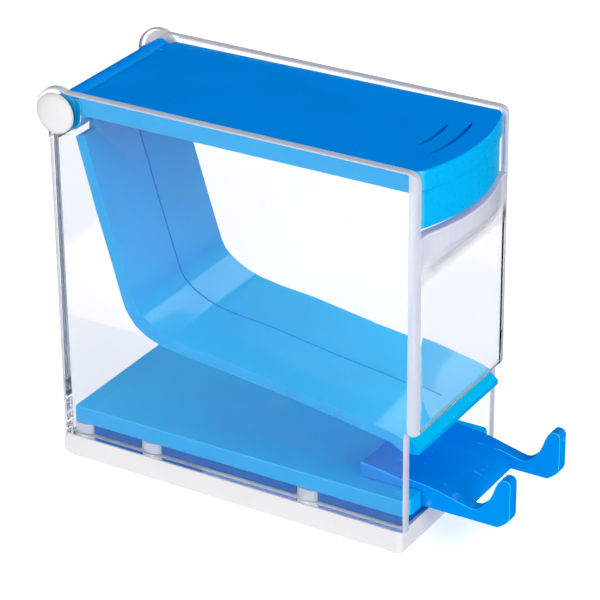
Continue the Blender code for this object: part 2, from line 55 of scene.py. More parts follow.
past = 5 * mm  # how far a cutter runs beyond what it cuts

# Places that the frame already settles
caseLow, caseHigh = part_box("clear_case")
baseLow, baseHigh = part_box("base_plate")
guideLow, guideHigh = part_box("drawer_guide")
drawerLow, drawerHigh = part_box("drawer")
rampLow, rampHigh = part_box("ramp")
lidLow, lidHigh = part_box("lid")
springLow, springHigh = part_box("drawer_spring")
joints = {joint["name"]: joint for joint in frame["joints"]}
hinge = Vector(joints["lid_hinge"]["pos_m"])
drawerTravel = -joints["drawer_slide"]["range_m"][0]
print("frame loaded")


def clearSelection():
    if bpy.context.mode != "OBJECT":
        bpy.ops.object.mode_set(mode="OBJECT")
    bpy.ops.object.select_all(action="DESELECT")


def takeUp(piece):
    clearSelection()
    piece.select_set(True)
    bpy.context.view_layer.objects.active = piece


def applyPlace(piece):
    takeUp(piece)
    bpy.ops.object.transform_apply(location=True, rotation=True, scale=True)


def arcPoints(centre, radius, first, last, steps):
    points = []
    for step in range(steps + 1):
        angle = math.radians(first + (last - first) * step / steps)
        points.append((centre[0] + radius * math.cos(angle), centre[1] + radius * math.sin(angle)))
    return points


def inMillimetres(points):
    return [(a * mm, b * mm) for a, b in points]


# A flat face is walked corner by corner, pulled to its thickness and its sharp edges are rounded.
# side "xz" draws it seen from the side and pulls it along Y, "xy" draws it from above and pulls it up.
def pullOutline(name, outline, low, high, side="xz", edge=0.4 * mm, segments=3, sharp=40):
    if side == "xz":
        corners = [Vector((a, low, b)) for a, b in outline]
        pull = Vector((0, high - low, 0))
    else:
        corners = [Vector((a, b, low)) for a, b in outline]
        pull = Vector((0, 0, high - low))
    clearSelection()
    bpy.ops.mesh.primitive_plane_add(size=mm, location=corners[0])
    piece = bpy.context.object
    piece.name = name
    bpy.ops.object.mode_set(mode="EDIT")
    bpy.ops.mesh.select_mode(type="VERT")
    bpy.ops.mesh.merge(type="CENTER")
    for before, after in zip(corners, corners[1:]):
        bpy.ops.mesh.extrude_vertices_move(TRANSFORM_OT_translate={"value": after - before})
    bpy.ops.mesh.select_all(action="SELECT")
    bpy.ops.mesh.edge_face_add()
    bpy.ops.mesh.extrude_region_move(TRANSFORM_OT_translate={"value": pull})
    bpy.ops.mesh.select_all(action="SELECT")
    bpy.ops.mesh.normals_make_consistent(inside=False)
    if edge:
        roundSharp(edge, segments, sharp)
    applyPlace(piece)
    return piece


# In edit mode: rounds every edge that turns by more than sharp degrees
def roundSharp(edge, segments=3, sharp=40):
    bpy.ops.mesh.select_mode(type="EDGE")
    bpy.ops.mesh.select_all(action="DESELECT")
    bpy.ops.mesh.edges_select_sharp(sharpness=math.radians(sharp))
    bpy.ops.mesh.bevel(offset=edge, segments=segments, affect="EDGES", clamp_overlap=True)


# In edit mode: selects the edges whose two ends pass the test
def pickEdges(piece, test):
    bpy.ops.mesh.select_mode(type="EDGE")
    bpy.ops.mesh.select_all(action="DESELECT")
    bpy.ops.object.mode_set(mode="OBJECT")
    for edge in piece.data.edges:
        a, b = (piece.data.vertices[index].co for index in edge.vertices)
        edge.select = test(a, b)
    bpy.ops.object.mode_set(mode="EDIT")


def addBlock(name, low, high, edge=0.4 * mm, segments=3):
    low, high = Vector(low), Vector(high)
    clearSelection()
    bpy.ops.mesh.primitive_cube_add(size=1, location=(low + high) / 2)
    piece = bpy.context.object
    piece.scale = high - low
    piece.name = name
    applyPlace(piece)
    if edge:
        bpy.ops.object.mode_set(mode="EDIT")
        roundSharp(edge, segments)
        bpy.ops.object.mode_set(mode="OBJECT")
    return piece


def addRod(name, start, end, radius, sides=32, edge=0):
    start, end = Vector(start), Vector(end)
    along = end - start
    clearSelection()
    turn = along.to_track_quat("Z", "Y").to_euler()
    bpy.ops.mesh.primitive_cylinder_add(
        vertices=sides, radius=radius, depth=along.length, location=(start + end) / 2, rotation=turn
    )
    piece = bpy.context.object
    piece.name = name
    applyPlace(piece)
    if edge:
        bpy.ops.object.mode_set(mode="EDIT")
        roundSharp(edge, 3, 60)
        bpy.ops.object.mode_set(mode="OBJECT")
    return piece


# A rod that stands on end at a place seen from above
def uprightRod(name, place, low, high, radius, sides=32, edge=0):
    return addRod(name, (*place, low), (*place, high), radius, sides, edge)


# In edit mode: draws the selected face out along one axis, ring by ring. A ring is its distance and its radius.
def drawRings(start, rings, along, centre):
    last = start
    for ring in rings:
        move = [step * (ring[0] - last[0]) for step in along]
        scale = ring[1] / last[1]
        bpy.ops.mesh.extrude_region_move(TRANSFORM_OT_translate={"value": move})
        bpy.ops.transform.resize(value=[1 if step else scale for step in along], center_override=centre)
        last = ring
    bpy.ops.mesh.select_all(action="SELECT")
    bpy.ops.mesh.normals_make_consistent(inside=False)


# Joins or cuts with the other pieces, which are used up
def combine(piece, others, how):
    for other in others:
        takeUp(piece)
        bpy.ops.object.modifier_add(type="BOOLEAN")
        tool = piece.modifiers[-1]
        tool.operation = how
        tool.solver = "EXACT"
        tool.object = other
        bpy.ops.object.modifier_apply(modifier=tool.name)
        bpy.data.objects.remove(other, do_unlink=True)
    return piece


def join(piece, *others):
    return combine(piece, others, "UNION")


def cut(piece, *others):
    return combine(piece, others, "DIFFERENCE")


# Smooth shading whose normals follow the large faces, so that flat plastic stays flat between round edges
def finishPiece(piece, material, body, nodes, smoothAngle=38):
    takeUp(piece)
    bpy.ops.object.shade_smooth_by_angle(angle=math.radians(smoothAngle))
    bpy.ops.object.modifier_add(type="WEIGHTED_NORMAL")
    weighted = piece.modifiers[-1]
    weighted.keep_sharp = True
    weighted.weight = 100
    bpy.ops.object.modifier_apply(modifier=weighted.name)
    piece.data.materials.clear()
    piece.data.materials.append(material)
    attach(piece, body)
    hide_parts(*nodes)
    print("made", piece.name)
    return piece


def linearColor(hexColor):
    channels = []
    for start in (1, 3, 5):
        value = int(hexColor[start:start + 2], 16) / 255
        channels.append(value / 12.92 if value <= 0.04045 else ((value + 0.055) / 1.055) ** 2.4)
    return (*channels, 1)


def startMaterial(name):
    material = bpy.data.materials.new(name)
    material.use_nodes = True
    material.node_tree.nodes.clear()
    return material, material.node_tree


# One node, its settings and what feeds each of its inputs: a node's output, or a plain value
def addNode(tree, kind, settings=None, inputs=None):
    node = tree.nodes.new(kind)
    for key, value in (settings or {}).items():
        setattr(node, key, value)
    for key, value in (inputs or {}).items():
        if isinstance(value, bpy.types.NodeSocket):
            tree.links.new(value, node.inputs[key])
        else:
            node.inputs[key].default_value = value
    return node


# Object coordinates are in metres, so a pattern with a repeat of so many millimetres has this scale
def perMillimetre(size):
    return 1 / (size * mm)


# Coloured ABS from a polished mould: glossy, with faint flow clouds, dust-fine nibs and handling scuffs.
# Painted light: upright and level faces are mixed from two tints, one pair per part. The tints stand in for how
# light falls on them, from the front and through the thin walls of the moulding.
def mouldedBlue(name, levelLightTint, uprightLightTint, roughLow, roughHigh, wear, specular=0.5):
    values = {
        "cloudSize": 22,
        "cloudShade": 0.93,
        "grainSize": 0.9,
        "scuffSize": 1.6,
        "scuffColour": "#5FB8F2",
        "dustSize": 0.45,
        "dustColour": "#A9DDFA",
        "edgeHighlightColour": "#4FC8F8",
        "waveSize": 9,
        "waveHeight": 0.05,
        "waveDepth": 0.6 * mm,
        "edgeHighlight": 0.7,
        "ior": 1.53,
    }
    material, tree = startMaterial(name)
    coordinates = addNode(tree, "ShaderNodeTexCoord")
    place = coordinates.outputs["Object"]
    upright = addNode(tree, "ShaderNodeSeparateXYZ", None, {"Vector": coordinates.outputs["Normal"]})
    level = addNode(tree, "ShaderNodeMath", {"operation": "ABSOLUTE"}, {0: upright.outputs["Z"]})
    facingLightShare = addNode(tree, "ShaderNodeMapRange", {"interpolation_type": "SMOOTHSTEP"}, {
        "Value": level.outputs[0], "From Min": 0.25, "From Max": 0.97})
    # Painted light and shade by facing: level faces take the level tint, upright faces the upright tint
    tint = addNode(tree, "ShaderNodeMix", {"data_type": "RGBA"}, {
        0: facingLightShare.outputs["Result"], 6: linearColor(uprightLightTint), 7: linearColor(levelLightTint)})
    clouds = addNode(tree, "ShaderNodeTexNoise", None, {
        "Vector": place, "Scale": perMillimetre(values["cloudSize"]), "Detail": 3.0, "Roughness": 0.55})
    shade = addNode(tree, "ShaderNodeMapRange", None, {
        "Value": clouds.outputs["Fac"], "From Min": 0.3, "From Max": 0.7,
        "To Min": values["cloudShade"], "To Max": 1.0})
    clouded = addNode(tree, "ShaderNodeVectorMath", {"operation": "SCALE"}, {
        0: tint.outputs[2], "Scale": shade.outputs["Result"]})
    stretched = addNode(tree, "ShaderNodeMapping", None, {
        "Vector": place, "Scale": (0.18, 1.0, 1.0), "Rotation": (0, 0, math.radians(12))})
    scuffs = addNode(tree, "ShaderNodeTexNoise", None, {
        "Vector": stretched.outputs["Vector"], "Scale": perMillimetre(values["scuffSize"]), "Detail": 5.0})
    scuffMask = addNode(tree, "ShaderNodeMapRange", None, {
        "Value": scuffs.outputs["Fac"], "From Min": 0.64, "From Max": 0.76, "To Max": wear})
    scuffed = addNode(tree, "ShaderNodeMix", {"data_type": "RGBA"}, {
        0: scuffMask.outputs["Result"], 6: clouded.outputs["Vector"], 7: linearColor(values["scuffColour"])})
    dust = addNode(tree, "ShaderNodeTexVoronoi", None, {
        "Vector": place, "Scale": perMillimetre(values["dustSize"] * 8), "Randomness": 1.0})
    dustMask = addNode(tree, "ShaderNodeMapRange", None, {
        "Value": dust.outputs["Distance"], "From Min": 0.05, "From Max": 0.03, "To Max": wear})
    dusted = addNode(tree, "ShaderNodeMix", {"data_type": "RGBA"}, {
        0: dustMask.outputs["Result"], 6: scuffed.outputs[2], 7: linearColor(values["dustColour"])})
    # Painted highlight: the rounded edges along both sides are painted paler, where lights glint on them
    aside = addNode(tree, "ShaderNodeMath", {"operation": "ABSOLUTE"}, {0: upright.outputs["Y"]})
    past = addNode(tree, "ShaderNodeMapRange", {"interpolation_type": "SMOOTHSTEP"}, {
        "Value": aside.outputs[0], "From Min": 0.45, "From Max": 0.65, "To Max": values["edgeHighlight"]})
    short = addNode(tree, "ShaderNodeMapRange", {"interpolation_type": "SMOOTHSTEP"}, {
        "Value": aside.outputs[0], "From Min": 0.85, "From Max": 0.98, "To Max": values["edgeHighlight"]})
    corner = addNode(tree, "ShaderNodeMath", {"operation": "SUBTRACT", "use_clamp": True}, {
        0: past.outputs["Result"], 1: short.outputs["Result"]})
    colour = addNode(tree, "ShaderNodeMix", {"data_type": "RGBA"}, {
        0: corner.outputs[0], 6: dusted.outputs[2], 7: linearColor(values["edgeHighlightColour"])})
    grain = addNode(tree, "ShaderNodeTexNoise", None, {
        "Vector": place, "Scale": perMillimetre(values["grainSize"]), "Detail": 4.0})
    rough = addNode(tree, "ShaderNodeMapRange", None, {
        "Value": grain.outputs["Fac"], "From Min": 0.3, "From Max": 0.7,
        "To Min": roughLow, "To Max": roughHigh})
    roughScuffed = addNode(tree, "ShaderNodeMath", {"operation": "MULTIPLY_ADD"}, {
        0: scuffMask.outputs["Result"], 1: 0.3, 2: rough.outputs["Result"]})
    wave = addNode(tree, "ShaderNodeTexNoise", None, {
        "Vector": place, "Scale": perMillimetre(values["waveSize"]), "Detail": 2.0})
    bump = addNode(tree, "ShaderNodeBump", None, {
        "Height": wave.outputs["Fac"], "Strength": values["waveHeight"], "Distance": values["waveDepth"]})
    shader = addNode(tree, "ShaderNodeBsdfPrincipled", None, {
        "Base Color": colour.outputs[2], "Roughness": roughScuffed.outputs[0], "IOR": values["ior"],
        "Normal": bump.outputs["Normal"], "Specular IOR Level": specular})
    addNode(tree, "ShaderNodeOutputMaterial", None, {"Surface": shader.outputs["BSDF"]})
    return material


# White ABS from a fine-sparked mould: satin, so lights blur on it, with a trace of dust in the grain
def sparkedWhite():
    values = {"colour": "#E3E2E3", "shadeColour": "#DBDADC", "cloudSize": 14, "grainSize": 0.35,
              "grainDepth": 0.05 * mm, "rough": 0.42, "ior": 1.53}
    material, tree = startMaterial("sparkErodedWhiteAbs")
    place = addNode(tree, "ShaderNodeTexCoord").outputs["Object"]
    clouds = addNode(tree, "ShaderNodeTexNoise", None, {
        "Vector": place, "Scale": perMillimetre(values["cloudSize"]), "Detail": 3.0})
    colour = addNode(tree, "ShaderNodeMix", {"data_type": "RGBA"}, {
        0: clouds.outputs["Fac"], 6: linearColor(values["colour"]), 7: linearColor(values["shadeColour"])})
    grain = addNode(tree, "ShaderNodeTexNoise", None, {
        "Vector": place, "Scale": perMillimetre(values["grainSize"]), "Detail": 3.0})
    rough = addNode(tree, "ShaderNodeMapRange", None, {
        "Value": grain.outputs["Fac"], "To Min": values["rough"] - 0.08, "To Max": values["rough"] + 0.1})
    bump = addNode(tree, "ShaderNodeBump", None, {
        "Height": grain.outputs["Fac"], "Strength": 0.12, "Distance": values["grainDepth"]})
    shader = addNode(tree, "ShaderNodeBsdfPrincipled", None, {
        "Base Color": colour.outputs[2], "Roughness": rough.outputs["Result"], "IOR": values["ior"],
        "Normal": bump.outputs["Normal"]})
    addNode(tree, "ShaderNodeOutputMaterial", None, {"Surface": shader.outputs["BSDF"]})
    return material


# Lamps reach what is inside through the walls, tinted with the lamp colour
def lampsThrough(tree, shader, lampColour):
    letThrough = addNode(tree, "ShaderNodeBsdfTransparent", None, {"Color": linearColor(lampColour)})
    path = addNode(tree, "ShaderNodeLightPath")
    surface = addNode(tree, "ShaderNodeMixShader", None, {
        0: path.outputs["Is Shadow Ray"], 1: shader.outputs["BSDF"], 2: letThrough.outputs["BSDF"]})
    addNode(tree, "ShaderNodeOutputMaterial", None, {"Surface": surface.outputs["Shader"]})


# Crystal polystyrene from a polished mould: clear as glass, with slow flow waves and hairline scratches
def clearStyrene():
    values = {"colour": "#FDFDFE", "ior": 1.59, "scratchSize": 1.2, "roughLow": 0.0, "roughHigh": 0.05,
              "waveSize": 35, "waveDepth": 1 * mm, "lampColour": "#FAFBFD"}
    material, tree = startMaterial("polishedCrystalPolystyrene")
    place = addNode(tree, "ShaderNodeTexCoord").outputs["Object"]
    stretched = addNode(tree, "ShaderNodeMapping", None, {
        "Vector": place, "Scale": (1.0, 1.0, 0.12), "Rotation": (0, math.radians(35), 0)})
    scratches = addNode(tree, "ShaderNodeTexNoise", None, {
        "Vector": stretched.outputs["Vector"], "Scale": perMillimetre(values["scratchSize"]), "Detail": 6.0})
    rough = addNode(tree, "ShaderNodeMapRange", None, {
        "Value": scratches.outputs["Fac"], "From Min": 0.62, "From Max": 0.75,
        "To Min": values["roughLow"], "To Max": values["roughHigh"]})
    wave = addNode(tree, "ShaderNodeTexNoise", None, {
        "Vector": place, "Scale": perMillimetre(values["waveSize"]), "Detail": 1.0})
    bump = addNode(tree, "ShaderNodeBump", None, {
        "Height": wave.outputs["Fac"], "Strength": 0.03, "Distance": values["waveDepth"]})
    glass = addNode(tree, "ShaderNodeBsdfPrincipled", None, {
        "Base Color": linearColor(values["colour"]), "Roughness": rough.outputs["Result"],
        "IOR": values["ior"], "Transmission Weight": 1.0, "Normal": bump.outputs["Normal"]})
    lampsThrough(tree, glass, values["lampColour"])
    return material


# The narrow faces of the clear moulding: a milky satin that hides what is behind. Its grey and pale tints are
# painted light, standing in for light reflected and bent inside the clear plastic.
# With a fade, the milkiness grows from nothing to full between those two heights.
def milkyStyrene(name, colour, hazeColour, haze, fade=None):
    values = {"ior": 1.59, "streakSize": 1.5, "streakDepth": 0.1 * mm, "clearColour": "#FDFDFE",
              "lampColour": "#D8DAE4"}
    material, tree = startMaterial(name)
    place = addNode(tree, "ShaderNodeTexCoord").outputs["Object"]
    stretched = addNode(tree, "ShaderNodeMapping", None, {"Vector": place, "Scale": (0.15, 1.0, 0.15)})
    streaks = addNode(tree, "ShaderNodeTexNoise", None, {
        "Vector": stretched.outputs["Vector"], "Scale": perMillimetre(values["streakSize"]), "Detail": 4.0})
    tint = addNode(tree, "ShaderNodeMix", {"data_type": "RGBA"}, {
        0: streaks.outputs["Fac"], 6: linearColor(colour), 7: linearColor(hazeColour)})
    rough = addNode(tree, "ShaderNodeMapRange", None, {
        "Value": streaks.outputs["Fac"], "To Min": 0.15, "To Max": 0.3})
    bump = addNode(tree, "ShaderNodeBump", None, {
        "Height": streaks.outputs["Fac"], "Strength": 0.03, "Distance": values["streakDepth"]})
    clearness = 1 - haze
    if fade:
        height = addNode(tree, "ShaderNodeSeparateXYZ", None, {"Vector": place})
        faded = addNode(tree, "ShaderNodeMapRange", {"interpolation_type": "SMOOTHSTEP"}, {
            "Value": height.outputs["Z"], "From Min": fade[0], "From Max": fade[1],
            "To Min": 1.0, "To Max": clearness})
        clearness = faded.outputs["Result"]
        tint = addNode(tree, "ShaderNodeMix", {"data_type": "RGBA"}, {
            0: clearness, 6: tint.outputs[2], 7: linearColor(values["clearColour"])})
    shader = addNode(tree, "ShaderNodeBsdfPrincipled", None, {
        "Base Color": tint.outputs[2], "Roughness": rough.outputs["Result"], "IOR": values["ior"],
        "Transmission Weight": clearness, "Normal": bump.outputs["Normal"]})
    lampsThrough(tree, shader, values["lampColour"])
    return material


# Zinc-plated steel wire and screws: bright, slightly cloudy metal with fine drawing marks
def zincSteel():
    values = {"colour": "#C9CACD", "dullColour": "#9FA1A6", "cloudSize": 1.5}
    material, tree = startMaterial("zincPlatedSteel")
    place = addNode(tree, "ShaderNodeTexCoord").outputs["Object"]
    clouds = addNode(tree, "ShaderNodeTexNoise", None, {
        "Vector": place, "Scale": perMillimetre(values["cloudSize"]), "Detail": 4.0})
    colour = addNode(tree, "ShaderNodeMix", {"data_type": "RGBA"}, {
        0: clouds.outputs["Fac"], 6: linearColor(values["colour"]), 7: linearColor(values["dullColour"])})
    rough = addNode(tree, "ShaderNodeMapRange", None, {
        "Value": clouds.outputs["Fac"], "To Min": 0.22, "To Max": 0.45})
    shader = addNode(tree, "ShaderNodeBsdfPrincipled", None, {
        "Base Color": colour.outputs[2], "Roughness": rough.outputs["Result"], "Metallic": 1.0})
    addNode(tree, "ShaderNodeOutputMaterial", None, {"Surface": shader.outputs["BSDF"]})
    return material


# Matt paper sweep over a light table, under the object. Mirror-like faces see it dimmer, as they would see
# the unlit table edge and room beyond it.
def paleSweep():
    values = {"paper": "#FAFAFB", "shade": "#F7F7F8", "mirrored": "#666A72", "fibreSize": 3, "glow": 0.4}
    material, tree = startMaterial("mattPaperSweep")
    place = addNode(tree, "ShaderNodeTexCoord").outputs["Object"]
    fibre = addNode(tree, "ShaderNodeTexNoise", None, {
        "Vector": place, "Scale": perMillimetre(values["fibreSize"]), "Detail": 3.0})
    colour = addNode(tree, "ShaderNodeMix", {"data_type": "RGBA"}, {
        0: fibre.outputs["Fac"], 6: linearColor(values["paper"]), 7: linearColor(values["shade"])})
    paper = addNode(tree, "ShaderNodeBsdfPrincipled", None, {
        "Base Color": colour.outputs[2], "Roughness": 0.9, "Specular IOR Level": 0.1,
        "Emission Color": linearColor("#FFFFFF"), "Emission Strength": values["glow"]})
    dimmed = addNode(tree, "ShaderNodeBsdfPrincipled", None, {
        "Base Color": linearColor(values["mirrored"]), "Roughness": 0.9, "Specular IOR Level": 0.0})
    path = addNode(tree, "ShaderNodeLightPath")
    mirrored = addNode(tree, "ShaderNodeMath", {"operation": "SUBTRACT", "use_clamp": True}, {
        0: path.outputs["Is Reflection Ray"], 1: path.outputs["Is Diffuse Ray"]})
    surface = addNode(tree, "ShaderNodeMixShader", None, {
        0: mirrored.outputs[0], 1: paper.outputs["BSDF"], 2: dimmed.outputs["BSDF"]})
    addNode(tree, "ShaderNodeOutputMaterial", None, {"Surface": surface.outputs["Shader"]})
    return material


# One blue ABS throughout. Painted light: the ramp's and the guide's tints are painted lighter and more cyan,
# standing in for light that reaches them inside the case.
lidAbs = mouldedBlue("satinBlueAbs", "#0093F8", "#06AEEE", 0.26, 0.4, 0.08)
trayAbs = mouldedBlue("injectionMouldedBlueAbs", "#008AEA", "#0090E8", 0.12, 0.26, 0.4)
rampAbs = mouldedBlue("rampBlueAbsPaintedLight", "#18BCF0", "#08A8EA", 0.03, 0.12, 0.5, 0.3)
floorAbs = mouldedBlue("polishedBlueAbsPaintedLight", "#10BAF6", "#00A8EA", 0.03, 0.12, 0.7, 0.3)
# Painted shade: a darker blue for the guide's keel below the rim
shadedKeelAbs = mouldedBlue("paintedShadeKeelAbs", "#0058A8", "#0060B4", 0.3, 0.45, 0.5, 0.3)
whiteAbs = sparkedWhite()
styrene = clearStyrene()
# The edges get a milky haze, and its grey tint is a painted reflection of the light reflected inside the clear
# walls
styreneEdge = milkyStyrene("styreneEdgePaintedReflection", "#DADCE8", "#D3D6E4", 0.75)
# Painted shade: the panel's bend gets a darker grey, fading in with height, for the darker surroundings its
# refraction shows
styreneFlareShade = milkyStyrene("paintedShadeStyreneFlare", "#A6B0CA", "#D6DAE8", 0.55, (79 * mm, 84 * mm))
# Painted light: the clear pads are made pale and milky, standing in for light on them
styrenePad = milkyStyrene("styrenePadPaintedLight", "#E4E6EE", "#B9C4DA", 0.85)
steel = zincSteel()
print("materials made")


hopperSizes = {
    "wall": 2.6 * mm,
    "panel": 2.5 * mm,
    "rear": -55.3 * mm,
    "front": 54.5 * mm,
    "top": 108.3 * mm,
    "backTop": 94.8 * mm,
    "ledge": 51.8 * mm,
    "panelBottom": 35.5 * mm,
    "panelTop": 90.5 * mm,
    "lipFront": lidHigh.x,
    "bowRadius": 53 * mm,
    "flareStart": 78 * mm,
    "flareEnd": 85 * mm,
    "earRadius": 6.7 * mm,
    "topCorner": 3 * mm,
    "frontCorner": 2.4 * mm,
    "rearCorner": 1.6 * mm,
    "ledgeCorner": 1 * mm,
    "rimEdge": 0.7 * mm,
    "panelEdge": 0.7 * mm,
    "backEdge": 0.6 * mm,
    "inWalls": 1.2 * mm,  # how far the panel and the back stop short of the walls' outsides
    "bendSoftness": 0.5 * mm,
    "rowCrowding": 1.6,
    "hingeHole": 2 * mm,
    "seatDepth": 0.4 * mm,
    "padRadius": 4.35 * mm,
    "padTop": 9.8 * mm,
    "padEdge": 0.3 * mm,
    "screwWay": 1.8 * mm,
    "padPlaces": [(x * mm, y * mm) for x in (-28, 21, -50) for y in (-18, 18)],  # screws hold the first four
}


def bowBack(y):
    radius = hopperSizes["bowRadius"]
    return radius - math.sqrt(radius ** 2 - y ** 2)


def hopperSide(sign):
    s = hopperSizes
    drop = math.sqrt(s["earRadius"] ** 2 - (s["rear"] - hinge.x) ** 2)
    earStart = math.degrees(math.atan2(-drop, s["rear"] - hinge.x)) + 360
    earEnd = math.degrees(math.asin((s["top"] - hinge.z) / s["earRadius"]))
    outline = [(s["rear"], caseLow.z)]
    outline += arcPoints((hinge.x, hinge.z), s["earRadius"], earStart, earEnd, 30)
    cornerPlace = (s["front"] - s["topCorner"], s["top"] - s["topCorner"])
    outline += arcPoints(cornerPlace, s["topCorner"], 90, 0, 8)
    outline += [(s["front"], s["panelBottom"]), (s["ledge"], s["panelBottom"]), (s["ledge"], caseLow.z)]
    outer = caseHigh.y
    low, high = sorted((sign * (outer - s["wall"]), sign * outer))
    side = pullOutline("side", outline, low, high, edge=0)
    takeUp(side)
    bpy.ops.object.mode_set(mode="EDIT")
    pickEdges(side, lambda a, b: abs(a.y - b.y) < hair and max(a.z, b.z) > caseLow.z + hair)
    bpy.ops.mesh.bevel(offset=s["rimEdge"], segments=4, affect="EDGES")
    bpy.ops.object.mode_set(mode="OBJECT")
    return side


# The panel starts as a grid standing across the front, its upper rows pushed out to the bowed lip
def hopperPanel():
    s = hopperSizes
    reach = caseHigh.y - s["inWalls"]
    height = s["panelTop"] - s["panelBottom"]
    most = s["lipFront"] - s["front"]
    clearSelection()
    bpy.ops.mesh.primitive_grid_add(
        x_subdivisions=40, y_subdivisions=60, size=1, location=(s["front"], 0, s["panelBottom"] + height / 2),
        rotation=(math.radians(90), 0, math.radians(90))
    )
    panel = bpy.context.object
    panel.scale = (2 * reach, height, 1)
    applyPlace(panel)
    for vertex in panel.data.vertices:
        # Rows crowd together towards the top, where the panel bends
        share = (vertex.co.z - s["panelBottom"]) / height
        vertex.co.z = s["panelBottom"] + height * (1 - (1 - share) ** s["rowCrowding"])
        bend = min(1, max(0, (vertex.co.z - s["flareStart"]) / (s["flareEnd"] - s["flareStart"])))
        bend = bend * bend * (3 - 2 * bend)
        # Where the bow falls behind the panel it eases into it, and the middle still reaches the lip's place
        proud = most - bowBack(vertex.co.y)
        soft = s["bendSoftness"]
        proud = 0.5 * (proud + math.sqrt(proud * proud + soft * soft)) - 0.25 * soft * soft / most
        vertex.co.x += bend * proud
    takeUp(panel)
    bpy.ops.object.mode_set(mode="EDIT")
    bpy.ops.mesh.select_all(action="SELECT")
    bpy.ops.mesh.normals_make_consistent(inside=False)
    bpy.ops.object.mode_set(mode="OBJECT")
    middle = panel.data.polygons[len(panel.data.polygons) // 2]
    bpy.ops.object.modifier_add(type="SOLIDIFY")
    shell = panel.modifiers[-1]
    shell.thickness = s["panel"]
    shell.offset = -1 if middle.normal.x > 0 else 1
    bpy.ops.object.modifier_apply(modifier=shell.name)
    bpy.ops.object.modifier_add(type="BEVEL")
    rounded = panel.modifiers[-1]
    rounded.width = s["panelEdge"]
    rounded.segments = 3
    rounded.limit_method = "ANGLE"
    rounded.angle_limit = math.radians(60)
    bpy.ops.object.modifier_apply(modifier=rounded.name)
    return panel


# What a rounded upright corner leaves over, as a cutter
def cornerWaste(x, y, radius, low, high):
    towardX = -1 if x > 0 else 1
    towardY = -1 if y > 0 else 1
    centre = (x + towardX * radius, y + towardY * radius)
    outline = [(x - towardX * past, centre[1])]
    for step in range(11):
        angle = math.radians(9 * step)
        outline.append((centre[0] - towardX * radius * math.cos(angle),
                        centre[1] - towardY * radius * math.sin(angle)))
    outline += [(centre[0], y - towardY * past), (x - towardX * past, y - towardY * past)]
    return pullOutline("waste", outline, low, high, side="xy", edge=0)


def makeHopper():
    s = hopperSizes
    inner = caseHigh.y - s["wall"]
    reach = caseHigh.y - s["inWalls"]
    hopper = hopperSide(-1)
    hopper.name = "clearHopper"
    backLow, backHigh = (s["rear"], -reach, caseLow.z), (s["rear"] + s["wall"], reach, s["backTop"])
    join(hopper, hopperSide(1), addBlock("back", backLow, backHigh, s["backEdge"]), hopperPanel())
    for place in s["padPlaces"]:
        join(hopper, uprightRod("pad", place, caseLow.z, s["padTop"], s["padRadius"], 40, s["padEdge"]))
    above, below = s["top"] + past, caseLow.z - past
    for sign in (-1, 1):
        y = sign * caseHigh.y
        cut(hopper, cornerWaste(s["front"], y, s["frontCorner"], s["panelBottom"] - 0.1 * mm, above))
        cut(hopper, cornerWaste(s["rear"], y, s["rearCorner"], below, s["backTop"]))
        cut(hopper, cornerWaste(s["ledge"], y, s["ledgeCorner"], below, s["panelBottom"] - 1 * mm))
        # Hinge hole, and the shallow seat around it that the lid's lug turns in
        holeEnds = [(hinge.x, sign * end, hinge.z) for end in (inner - past, caseHigh.y + past)]
        seat = arcPoints((hinge.x, hinge.z), s["earRadius"], 180, 360, 24)
        seat += [(hinge.x + s["earRadius"], above), (hinge.x - s["earRadius"], above)]
        low, high = sorted((sign * (inner - past), sign * (inner + s["seatDepth"])))
        cut(hopper, addRod("hole", *holeEnds, s["hingeHole"], 40), pullOutline("seat", seat, low, high, edge=0))
    for place in s["padPlaces"][:4]:
        cut(hopper, uprightRod("screwWay", place, below, s["padTop"] + past, s["screwWay"], 24))
    finishPiece(hopper, styrene, "case", ["clear_case"])
    for finish in (styreneEdge, styreneFlareShade, styrenePad):
        hopper.data.materials.append(finish)
    for face in hopper.data.polygons:
        face.material_index = hopperFinish(face.center, face.normal)
    return hopper


# 1 on the rim, the upright ends of the walls and the lip, 2 on the panel's bend, 3 on the pads, 0 elsewhere
def hopperFinish(centre, normal):
    s = hopperSizes
    v = {"slack": 0.1 * mm, "turned": 0.85, "facing": 0.2, "upright": 0.93,
         "rimLow": 95 * mm, "padsEnd": 30 * mm}
    inner = caseHigh.y - s["wall"]
    aside = abs(centre.y)
    cornerReach = s["frontCorner"] + v["slack"]
    turnedIn = abs(normal.y) > v["turned"] and aside < caseHigh.y - 0.6 * mm
    inCorner = centre.x > s["front"] - cornerReach and aside > caseHigh.y - cornerReach
    if inCorner and centre.z > s["panelBottom"] - v["slack"] and not turnedIn:
        return 1
    if aside > inner - 0.05 * mm and not turnedIn and abs(normal.y) < v["upright"]:
        rim = normal.z > v["facing"] and centre.z > v["rimLow"]
        belowPanel = s["ledge"] - 2 * mm < centre.x and centre.z < s["panelBottom"]
        front = normal.x > v["facing"] and belowPanel
        rear = normal.x < -v["facing"] and centre.x < s["rear"] + 3 * mm
        return 1 if rim or front or rear else 0
    if centre.x > s["front"] - s["panel"] - v["slack"]:
        if centre.z > s["panelTop"] - 0.8 * mm:
            return 1
        if centre.z > s["flareStart"] - 1 * mm:
            return 2
    low = centre.z < s["padTop"] + v["slack"]
    pad = low and aside < inner and s["rear"] + s["wall"] < centre.x < v["padsEnd"]
    return 3 if pad else 0


makeHopper()


